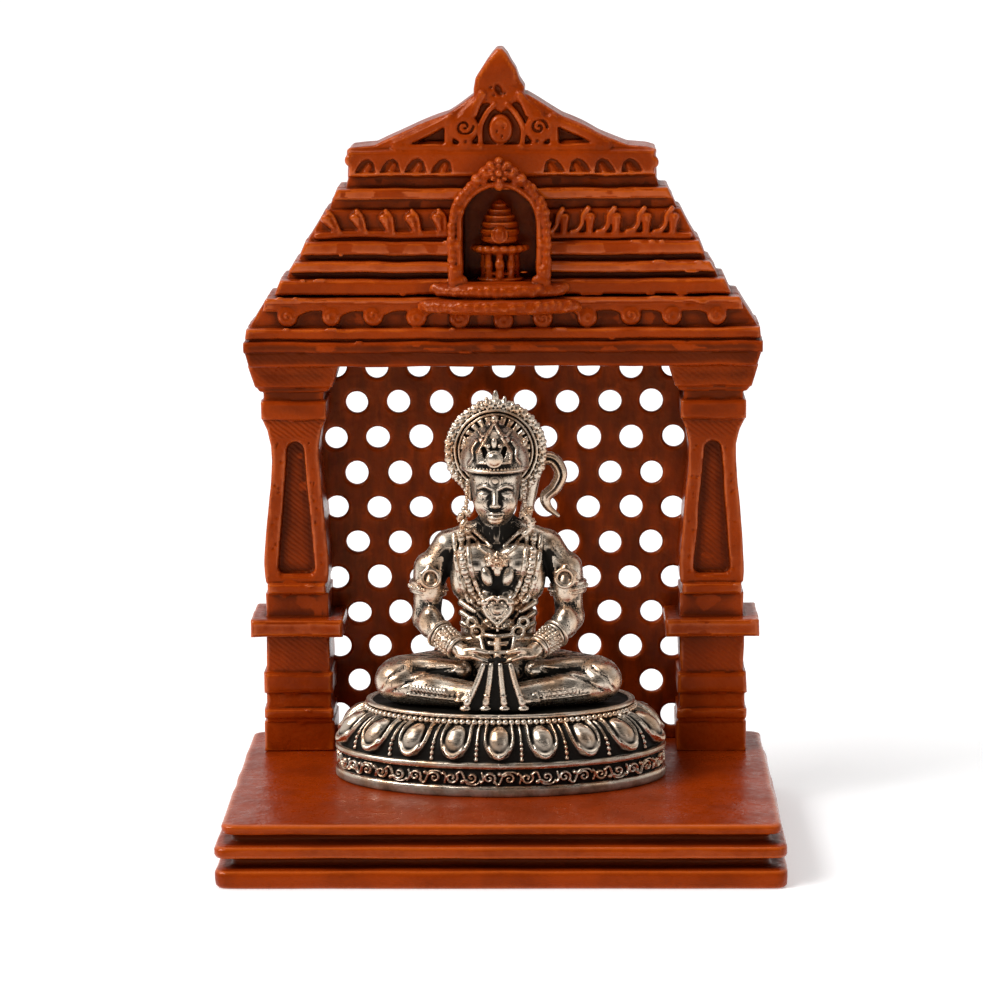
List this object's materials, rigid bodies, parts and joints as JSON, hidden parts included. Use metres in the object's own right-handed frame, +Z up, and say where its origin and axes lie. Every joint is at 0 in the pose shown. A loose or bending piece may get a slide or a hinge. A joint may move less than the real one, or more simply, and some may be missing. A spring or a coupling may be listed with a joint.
{
  "type": "shrine figurine with seated statuette",
  "caption": "Small pillared shrine with a pierced back screen, stepped roof and niche, holding a loose seated statuette on an oval lotus seat.",
  "frame": {"origin": "centre of the plinth's underside", "axes": "+X to the viewer's right across the front, +Y to the back, +Z up"},
  "size_m": [0.092, 0.065, 0.1315],
  "materials": {
    "terracotta_resin": "glossy cast resin, orange-brown, darker in the recesses",
    "antique_silver": "cast metal, antiqued: polished high spots and blackened recesses"
  },
  "bodies": {
    "shrine": {"plinth": "terracotta_resin", "pedestal_left": "terracotta_resin", "pillar_shelf_left": "terracotta_resin", "pillar_shaft_left": "terracotta_resin", "capital_left": "terracotta_resin", "pedestal_right": "terracotta_resin", "pillar_shelf_right": "terracotta_resin", "pillar_shaft_right": "terracotta_resin", "capital_right": "terracotta_resin", "pierced_screen": "terracotta_resin", "lintel": "terracotta_resin", "cornice": "terracotta_resin", "roof_body": "terracotta_resin", "eave_frieze": "terracotta_resin", "leaf_frieze_left": "terracotta_resin", "leaf_frieze_right": "terracotta_resin", "gable_arcade_left": "terracotta_resin", "gable_arcade_right": "terracotta_resin", "gable_fretwork": "terracotta_resin", "finial": "terracotta_resin", "niche_frame": "terracotta_resin", "niche_bead_string_left": "terracotta_resin", "niche_bead_string_right": "terracotta_resin", "niche_crest": "terracotta_resin", "niche_shelf_upper": "terracotta_resin", "niche_shelf_lower": "terracotta_resin", "niche_stool": "terracotta_resin", "niche_plate": "terracotta_resin", "niche_pot": "terracotta_resin"},
    "statuette": {"lotus_drum": "antique_silver", "lotus_petals": "antique_silver", "lotus_bead_rim": "antique_silver", "lotus_seat": "antique_silver", "torso": "antique_silver", "folded_legs": "antique_silver", "arm_left": "antique_silver", "arm_right": "antique_silver", "head": "antique_silver", "crown": "antique_silver", "halo": "antique_silver", "halo_crest": "antique_silver", "tail": "antique_silver", "armlet_left": "antique_silver", "bracelet_left": "antique_silver", "armlet_right": "antique_silver", "bracelet_right": "antique_silver", "garland": "antique_silver", "necklace": "antique_silver", "garland_pendant": "antique_silver", "necklace_pendant": "antique_silver", "belt": "antique_silver", "sash": "antique_silver", "ear_drop_left": "antique_silver", "ear_drop_right": "antique_silver"}
  },
  "joints": [
    {"name": "statuette_lift", "type": "slide", "parent": "shrine", "child": "statuette", "axis": [0, -0.6, 0.8], "range_m": [0, 0.07]}
  ]
}
